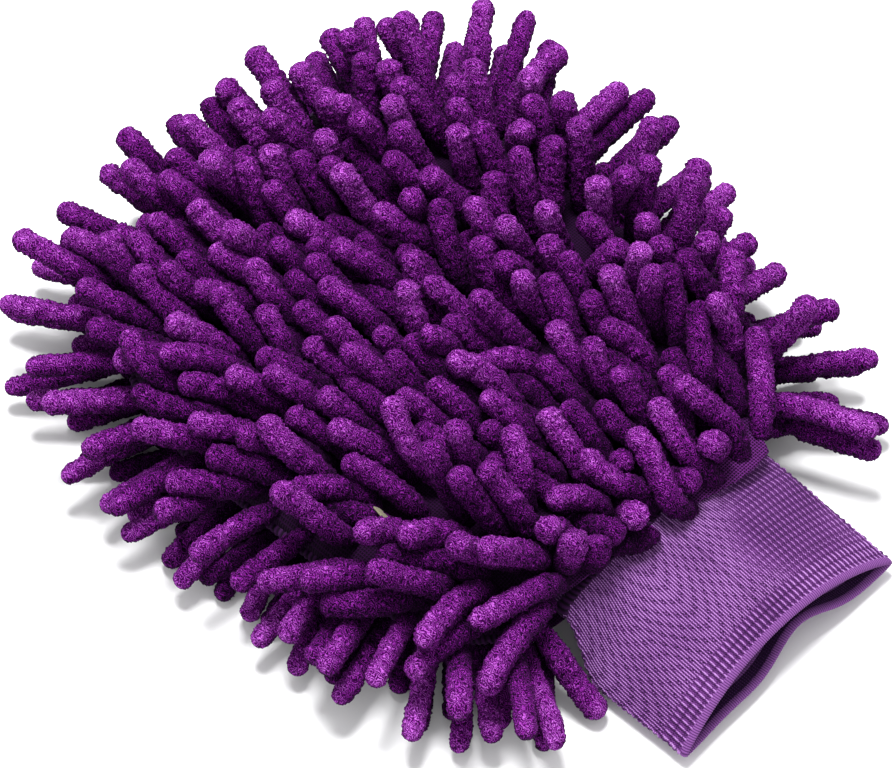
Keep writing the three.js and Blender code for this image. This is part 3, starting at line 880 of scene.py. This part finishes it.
def finish_piece(piece, node, material, body):
    """Gives a piece its material, hides the CAD node that it stands in for, and hangs it on what it rides
    on.
    """
    piece.data.materials.append(material)
    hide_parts(node)
    if body:
        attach(piece, body)


def fold_with_cuff(piece):
    """Applies the placement of a piece that crosses the cuff's root to its mesh; the piece is not bent."""
    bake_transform(piece)


def make_cuff(knit, hem_yarn, overlock, elastic):
    """The cuff's sleeve, ribs, hem and elastic yarns, and the seam that joins it to the pouch."""
    start_y = ROOT_Y + 5 * MM
    sleeve = knit_sleeve("cuff_sleeve_knit", start_y, RIB_START_Y, 0.36 * MM, knit_relief)
    finish_piece(sleeve, "cuff_knit_tube", knit, None)
    fold_with_cuff(sleeve)

    mouth_y = MOUTH_Y + 0.5 * HEM_DEPTH
    rib = knit_sleeve("cuff_rib_knit", RIB_START_Y + 0.3 * MM, mouth_y, 0.22 * MM, rib_relief)
    finish_piece(rib, "cuff_rib_band", knit, "cuff")

    path, normal = cuff_path(MOUTH_Y + 0.38 * HEM_DEPTH, 0.16 * MM, 0.05 * MM)
    hem = swept_band(
        "cuff_hem_roll", path, normal, True,
        half_depth=0.38 * HEM_DEPTH, half_height=0.85 * MM, pitch=0.72 * MM, slant=1.6, relief=0.05,
    )
    finish_piece(hem, "cuff_hem", hem_yarn, "cuff")

    for node in ("cuff_elastic_outer", "cuff_elastic_inner"):
        low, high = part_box(node)
        path, normal = cuff_path((low.y + high.y) / 2, 0.25 * MM, -KNIT_THICKNESS / 2 - 0.25 * MM)
        name = node.replace("cuff_elastic", "cuff_elastic_yarn")
        ring = swept_band(
            name, path, normal, True,
            half_depth=0.9 * MM, half_height=0.42 * MM, pitch=0.8 * MM, slant=2.5, relief=0.08, turns=10,
        )
        finish_piece(ring, node, elastic, "cuff")

    path, normal = cuff_path(ROOT_Y + 1.2 * MM, 0.3 * MM, 0.5 * MM)
    join = swept_band(
        "cuff_overlock", path, normal, True,
        half_depth=2.2 * MM, half_height=0.8 * MM, pitch=1.6 * MM, slant=2.2, relief=0.14,
    )
    finish_piece(join, "cuff_joining_seam", overlock, "mitt")


# ---- base cloth, seams and label ----

CLOTH_THICKNESS = 0.5 * MM


def pouch_edge(angle):
    """The pouch's outline about its middle, one point for each angle."""
    ray = stack(np.cos(angle) * POUCH_HALF_WIDTH, np.sin(angle) * POUCH_HALF_LENGTH)
    return ray / plan_norm(ray[:, 0], POUCH_CENTRE_Y + ray[:, 1])[:, None]


def base_cloth(node, side, material):
    """A knitted panel over the pouch, as a closed sheet that follows the panel's surface."""
    back = side > 0
    rings, spokes = 150, 520
    edge = pouch_edge(np.linspace(0, TURN, spokes, endpoint=False))
    share = np.linspace(0.004, 0.999, rings)[:, None, None]
    plan = edge[None] * share + [0, POUCH_CENTRE_Y]
    x, y = plan[..., 0], plan[..., 1]
    if back:
        near_cuff = np.clip((POUCH_CENTRE_Y - y) / POUCH_HALF_LENGTH, 0, 1) ** 6
        in_opening = np.clip((OPENING_HALF_WIDTH + 2 * MM - np.abs(x)) / (6 * MM), 0, 1)
        y = y - near_cuff * in_opening * overhang(x)
    outer = stack(x, y, panel_height(x, y, side))
    inner = outer - panel_normal(x, y, side) * CLOTH_THICKNESS
    rows = np.concatenate([outer, inner[::-1]])
    poles = [outer[0].mean(axis=0), inner[0].mean(axis=0)]
    groups = [faces if back else faces[:, ::-1] for faces in tube_faces(len(rows), spokes)]
    name = "back_cloth_panel" if back else "palm_cloth_panel"
    piece = build_mesh(name, np.concatenate([rows.reshape(-1, 3), poles]), groups)
    finish_piece(piece, node, material, None if back else "mitt")
    if back:
        fold_with_cuff(piece)


def pouch_seams(material):
    """The overlocked seam round the pouch, in the CAD's three runs."""
    edge = pouch_edge(np.linspace(-math.pi / 2, 3 * math.pi / 2, 6000))
    travelled = travel(edge)
    line = points_at(edge, travelled, np.arange(0, travelled[-1], 0.3 * MM)) + [0, POUCH_CENTRE_Y]
    corner_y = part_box("finger_end_seam")[0].y
    runs = {
        "right_side_seam": (line[:, 0] > 0) & (line[:, 1] < corner_y),
        "finger_end_seam": line[:, 1] > corner_y,
        "left_side_seam": (line[:, 0] < 0) & (line[:, 1] < corner_y),
    }
    for node, mask in runs.items():
        run = line[mask & (line[:, 1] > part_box(node)[0].y)]
        path = stack(run[:, 0], run[:, 1], np.full(len(run), SEAM_Z))
        outward = np.tile([0.0, 0.0, 1.0], (len(run), 1))
        seam = swept_band(
            node + "_overlock", path, outward, False,
            half_depth=1.7 * MM, half_height=1.2 * MM, pitch=1.7 * MM, slant=2.4, relief=0.16,
        )
        finish_piece(seam, node, material, "mitt")


def label_tab(material):
    """A blank woven tape that stands on its long side between the noodles and leans outwards."""
    low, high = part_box("care_label_tab")
    across, along = 49, 73
    width, length = high.x - low.x, high.y - low.y
    u, v = np.meshgrid(np.linspace(-0.5, 0.5, across), np.linspace(0, 1, along), indexing="ij")
    place = np.array([(low.x + high.x) / 2, (low.y + high.y) / 2])
    y = place[1] + (0.5 - v) * length
    lift = panel_height(np.full_like(y, place[0]), y, np.ones_like(y))
    rise = (u + 0.5) * width
    tilt = 0.10 + 0.30 * v + 0.30 * (u + 0.5)
    x = place[0] - rise * np.sin(tilt)
    z = lift - 0.5 * MM + rise * np.cos(tilt)
    middle = stack(x, y, z)
    normal = unit(np.cross(np.gradient(middle, axis=0), np.gradient(middle, axis=1)))
    half = 0.2 * MM
    vertices = np.concatenate([middle + normal * half, middle - normal * half]).reshape(-1, 3)
    index = np.arange(across * along).reshape(across, along)
    top = stack(index[:-1, :-1], index[1:, :-1], index[1:, 1:], index[:-1, 1:]).reshape(-1, 4)
    rim = np.concatenate([index[:, 0], index[-1, 1:], index[-2::-1, -1], index[0, -2:0:-1]])
    rim_after = np.roll(rim, -1)
    offset = across * along
    walls = stack(rim, rim + offset, rim_after + offset, rim_after)
    piece = build_mesh("care_label_tape", vertices, [np.concatenate([top, top[:, ::-1] + offset, walls])])
    finish_piece(piece, "care_label_tab", material, "mitt")


# ---- materials ----

def fill(node, **values):
    """Sets a node's inputs by name, with an underscore for each space."""
    for name, value in values.items():
        node.inputs[name.replace("_", " ")].default_value = value


class Shading:
    """One material's node tree, with a short method for each kind of node that it needs."""

    def __init__(self, name):
        self.material = bpy.data.materials.new(name)
        self.material.use_nodes = True
        self.nodes = self.material.node_tree.nodes
        self.links = self.material.node_tree.links
        self.shader = self.nodes["Principled BSDF"]

    def attribute(self, name):
        """A mesh attribute's value."""
        node = self.nodes.new("ShaderNodeAttribute")
        node.attribute_name = name
        return node.outputs["Fac"]

    def place(self):
        """The point in the object's own coordinates."""
        return self.nodes.new("ShaderNodeTexCoord").outputs["Object"]

    def math(self, operation, *values):
        """A Math node fed by sockets or numbers."""
        node = self.nodes.new("ShaderNodeMath")
        node.operation = operation
        for socket, value in zip(node.inputs, values):
            if isinstance(value, (int, float)):
                socket.default_value = value
            else:
                self.links.new(value, socket)
        return node.outputs["Value"]

    def add(self, first, *others):
        """The sum of sockets or numbers."""
        for other in others:
            first = self.math("ADD", first, other)
        return first

    def scaled(self, value, scale, offset):
        """value * scale + offset."""
        return self.math("MULTIPLY_ADD", value, scale, offset)

    def texture(self, kind, **values):
        """A texture node on the object's coordinates, with these input values."""
        node = self.nodes.new(kind)
        fill(node, **values)
        self.links.new(self.place(), node.inputs["Vector"])
        return node

    def noise(self, scale, detail=2.0, roughness=0.5):
        """Noise on the object's coordinates."""
        node = self.texture("ShaderNodeTexNoise", Scale=scale, Detail=detail, Roughness=roughness)
        return node.outputs["Fac"]

    def colour(self, value, stops):
        """Colours the surface by a ramp; `stops` is a list of (position, (r, g, b))."""
        ramp = self.nodes.new("ShaderNodeValToRGB")
        elements = ramp.color_ramp.elements
        while len(elements) < len(stops):
            elements.new(0.5)
        for element, (position, colour) in zip(elements, stops):
            element.position = position
            element.color = (*colour, 1)
        self.links.new(value, ramp.inputs["Fac"])
        self.links.new(ramp.outputs["Color"], self.shader.inputs["Base Color"])

    def bump(self, height, strength, distance):
        """Tilts the surface's light by a height in shares of `distance`."""
        bump = self.nodes.new("ShaderNodeBump")
        fill(bump, Strength=strength, Distance=distance)
        self.links.new(height, bump.inputs["Height"])
        self.links.new(bump.outputs["Normal"], self.shader.inputs["Normal"])

    def finish(self, roughness, sheen, tint, specular=0.1, sheen_roughness=0.4):
        """The constant values of a matt fabric, on the shader's own sockets."""
        fill(self.shader, Roughness=roughness, Specular_IOR_Level=specular)
        fill(self.shader, Sheen_Weight=sheen, Sheen_Roughness=sheen_roughness, Sheen_Tint=(*tint, 1))
        return self.material


def noodle_material():
    """Microfibre chenille: packed loops, bright on top with painted light and nearly black between them
    with painted shade added to the rendered shade.
    """
    pile = Shading("chenille_pile")
    loops = pile.texture("ShaderNodeTexWave", Scale=370, Distortion=16.0, Detail=1.0, Detail_Scale=1.7)
    loops.bands_direction = "X"
    value = pile.add(
        pile.scaled(loops.outputs["Fac"], 0.52, 0.10),
        pile.scaled(pile.noise(3000, 2.0, 0.6), 1.0, -0.50),
        pile.scaled(pile.noise(330, 1.0, 0.5), 0.4, -0.20),
        pile.scaled(pile.attribute("tint"), 0.16, -0.08),
        # painted shade: darker toward the root
        pile.scaled(pile.attribute("toward_tip"), 0.20, -0.16),
        # painted light on the tops, painted shade on the undersides and under other noodles
        pile.scaled(pile.attribute("sky"), 0.42, -0.28),
    )
    pile.colour(value, [
        (0.06, (0.0040, 0.0001, 0.006)),
        (0.34, (0.0520, 0.0012, 0.070)),
        (0.62, (0.1900, 0.0110, 0.240)),
        (0.94, (0.5200, 0.1400, 0.630)),
    ])
    pile.bump(value, 1.0, 0.35 * MM)
    return pile.finish(0.9, 0.04, (0.70, 0.16, 0.85), specular=0.05, sheen_roughness=0.35)


STITCH_LENGTH = 0.62 * MM


def knit_material():
    """The cuff's knit: pale dashes of yarn along each wale, dark between the stitches."""
    knit = Shading("cuff_stretch_knit")
    wobble = knit.math("MULTIPLY", knit.noise(260), 0.9)
    wale = knit.math("MULTIPLY", knit.attribute("around"), TURN / WALE)
    wale = knit.math("COSINE", knit.add(wale, wobble))
    course = knit.math("MULTIPLY", knit.attribute("along"), TURN / STITCH_LENGTH)
    course = knit.math("SINE", knit.add(course, knit.math("MULTIPLY", wobble, 3.0)))
    stitch = knit.math("MULTIPLY", wale, knit.add(course, 1.1))
    stitch = knit.math("MULTIPLY", stitch, 0.17)
    fuzz = knit.scaled(knit.noise(2400, 3.0, 0.7), 0.45, -0.225)
    patch = knit.scaled(knit.noise(45), 0.3, -0.15)
    # the sleeve's inner face is made darker than its outside
    inner_face_darkening = knit.math("MULTIPLY", knit.attribute("inside"), -0.28)
    knit.colour(knit.add(knit.attribute("tone"), stitch, fuzz, patch, inner_face_darkening), [
        (0.08, (0.010, 0.0015, 0.018)),
        (0.36, (0.050, 0.0110, 0.075)),
        (0.62, (0.128, 0.0320, 0.175)),
        (0.95, (0.440, 0.2250, 0.550)),
    ])
    knit.bump(knit.add(knit.math("MULTIPLY", stitch, 2.0), fuzz), 0.8, 0.25 * MM)
    return knit.finish(0.85, 0.10, (0.80, 0.40, 1.0))


def thread_material(name, dark, light):
    """Wound or looped yarn, with painted shade darkening the hollows between its turns."""
    thread = Shading(name)
    fuzz = thread.scaled(thread.noise(2200, 3.0, 0.7), 0.6, -0.3)
    thread.colour(thread.add(thread.attribute("tone"), fuzz), [(0.1, dark), (0.85, light)])
    thread.bump(fuzz, 0.7, 0.2 * MM)
    return thread.finish(0.8, 0.08, (0.80, 0.40, 1.0))


MESH_CELL = 0.85 * MM
PAINTED_LIGHT_CLOTH_Y = -64 * MM                # painted light: the back cloth is painted brighter from here to the cuff, where it lies open to the light
PAINTED_LIGHT_FADE = 60                   # how fast: share of the change for each metre


def mesh_cloth_material():
    """The dark knitted mesh that the noodles are sewn to: a fine grid with holes, with painted shade under
    the noodles and painted light beside the cuff.
    """
    cloth = Shading("knitted_mesh_cloth")
    split = cloth.nodes.new("ShaderNodeSeparateXYZ")
    cloth.links.new(cloth.place(), split.inputs["Vector"])
    wobble = cloth.math("MULTIPLY", cloth.noise(180), 1.6)
    waves = []
    for axis in ("X", "Y"):
        angle = cloth.math("MULTIPLY", split.outputs[axis], TURN / MESH_CELL)
        waves.append(cloth.math("COSINE", cloth.add(angle, wobble)))
    grid = cloth.scaled(cloth.math("MAXIMUM", *waves), 0.35, 0.1)
    fuzz = cloth.math("MULTIPLY", cloth.noise(2000, 3.0, 0.7), 0.5)
    # painted light: brighter where it is open to the light, beside the cuff; painted shade: darker
    # elsewhere, under the noodles
    painted_light_by_cuff = cloth.scaled(split.outputs["Y"], -PAINTED_LIGHT_FADE, PAINTED_LIGHT_FADE * PAINTED_LIGHT_CLOTH_Y)
    painted_light_by_cuff.node.use_clamp = True
    value = cloth.add(grid, fuzz, cloth.scaled(painted_light_by_cuff, 0.34, -0.34))
    cloth.colour(value, [
        (0.15, (0.0040, 0.0001, 0.006)),
        (0.55, (0.0300, 0.0016, 0.042)),
        (0.95, (0.2300, 0.0400, 0.300)),
    ])
    cloth.bump(value, 0.9, 0.4 * MM)
    return cloth.finish(0.9, 0.02, (0.7, 0.3, 0.9))


def tape_material():
    """The label: blank khaki woven tape."""
    tape = Shading("label_tape_weave")
    weave = tape.texture(
        "ShaderNodeTexBrick",
        Scale=1400,
        Mortar_Size=0.06,
        Color1=(0.36, 0.33, 0.23, 1),
        Color2=(0.27, 0.25, 0.17, 1),
        Mortar=(0.10, 0.09, 0.06, 1),
    )
    tape.links.new(weave.outputs["Color"], tape.shader.inputs["Base Color"])
    tape.bump(weave.outputs["Fac"], 0.4, 0.1 * MM)
    return tape.finish(0.8, 0.1, (1.0, 1.0, 0.9))


# ---- stage, light and camera ----

FLOOR_HALF_WIDTH = 3.0
FLOOR_DROP = 0.2 * MM                  # keeps the floor clear of what rests on it

CAMERA_AZIMUTH = math.radians(-46.8)
CAMERA_ELEVATION = math.radians(54.2)
CAMERA_LENS = 206
CAMERA_SENSOR = 36
CAMERA_DISTANCE = 1.5
CAMERA_AIM = Vector((-0.0048, 0.0008, 0.0220))
LIGHT_AIM = Vector((0, 0, 0.03))


def link_new(name, data):
    """A new object in the scene."""
    thing = bpy.data.objects.new(name, data)
    bpy.context.scene.collection.objects.link(thing)
    return thing


def make_stage():
    """A plain pale floor."""
    far = FLOOR_HALF_WIDTH
    mesh = bpy.data.meshes.new("floor")
    mesh.from_pydata([(-far, -far, 0), (far, -far, 0), (far, far, 0), (-far, far, 0)], [], [(0, 1, 2, 3)])
    floor = link_new("floor", mesh)
    floor.location.z = -FLOOR_DROP
    paint = Shading("pale_floor")
    fill(paint.shader, Base_Color=(0.86, 0.86, 0.87, 1), Roughness=0.9)
    floor.data.materials.append(paint.material)


def area_light(name, place, size, power):
    """A round soft light aimed at the mitt."""
    data = bpy.data.lights.new(name, "AREA")
    data.shape = "DISK"
    data.size = size
    data.energy = power
    light = link_new(name, data)
    light.location = place
    light.rotation_euler = (LIGHT_AIM - Vector(place)).to_track_quat("-Z", "Y").to_euler()


def make_lights():
    """A white room, a soft key from above the finger end and a faint fill from the cuff's left."""
    world = bpy.data.worlds.new("soft_room")
    world.use_nodes = True
    fill(world.node_tree.nodes["Background"], Color=(1, 1, 1, 1), Strength=0.88)
    bpy.context.scene.world = world
    area_light("key", (0.12, 0.22, 1.24), 0.45, 27)
    area_light("fill", (-0.9, -0.8, 0.9), 0.9, 2)


def make_camera():
    """The viewing angle: from above the cuff's left shoulder, looking at the middle of the back."""
    a, e = CAMERA_AZIMUTH, CAMERA_ELEVATION
    back = Vector((math.sin(a) * math.cos(e), -math.cos(a) * math.cos(e), math.sin(e)))
    data = bpy.data.cameras.new("camera")
    data.lens = CAMERA_LENS
    data.sensor_width = CAMERA_SENSOR
    camera = link_new("camera", data)
    camera.location = CAMERA_AIM + back * CAMERA_DISTANCE
    camera.rotation_euler = (-back).to_track_quat("-Z", "Y").to_euler()
    bpy.context.scene.camera = camera


bpy.context.scene.view_settings.view_transform = "Standard"
make_camera()
make_stage()
make_lights()
mesh_cloth = mesh_cloth_material()
hem_thread = thread_material("hem_yarn", (0.060, 0.015, 0.090), (0.200, 0.070, 0.260))
# the overlock yarn is nearly black: painted shade, as the seams lie in the shade of the noodles
shade_darkened_thread = thread_material("overlock_yarn", (0.004, 0.0005, 0.006), (0.030, 0.005, 0.042))
elastic_thread = thread_material("elastic_yarn", (0.030, 0.008, 0.045), (0.110, 0.035, 0.150))
base_cloth("back_base_cloth", 1.0, mesh_cloth)
base_cloth("palm_base_cloth", -1.0, mesh_cloth)
pouch_seams(shade_darkened_thread)
make_cuff(knit_material(), hem_thread, shade_darkened_thread, elastic_thread)
label_tab(tape_material())
grow_noodles(noodle_material())
